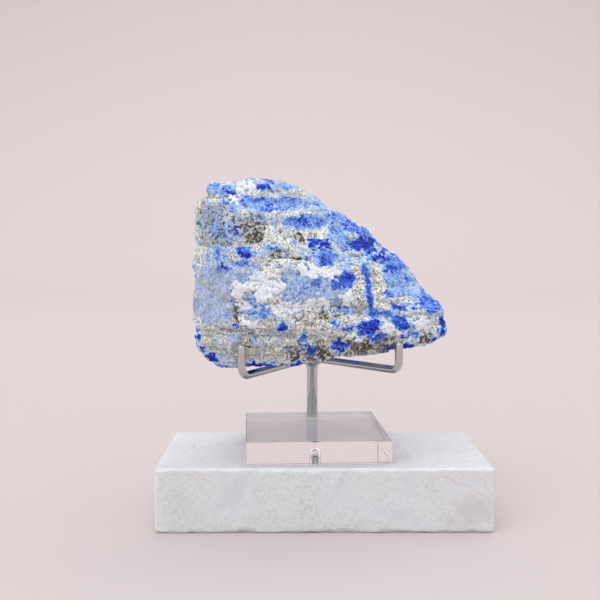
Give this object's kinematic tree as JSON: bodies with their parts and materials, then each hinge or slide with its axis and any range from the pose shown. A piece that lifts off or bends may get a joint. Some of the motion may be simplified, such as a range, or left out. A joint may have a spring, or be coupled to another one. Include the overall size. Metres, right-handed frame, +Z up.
{
  "type": "raw lapis lazuli specimen",
  "caption": "Rough banded blue and white stone resting in a bent-wire cradle on a post, set in a clear block on a white marble slab.",
  "frame": {"origin": "middle of the slab's underside, where the stand rests", "axes": "+Z up, +X to the right along the slab's long side, +Y away from the viewer of the stone's best face"},
  "size_m": [0.131, 0.0637, 0.1375],
  "materials": {
    "stone": "raw broken lapis lazuli, blue with white calcite and cream matrix",
    "steel": "polished stainless steel",
    "acrylic": "clear polished acrylic",
    "marble": "sawn white crystalline marble"
  },
  "bodies": {
    "root": {"lapis_stone": "stone", "post": "steel", "left_arm": "steel", "right_arm": "steel", "rear_arm": "steel", "acrylic_block": "acrylic", "marble_slab": "marble"}
  },
  "joints": []
}
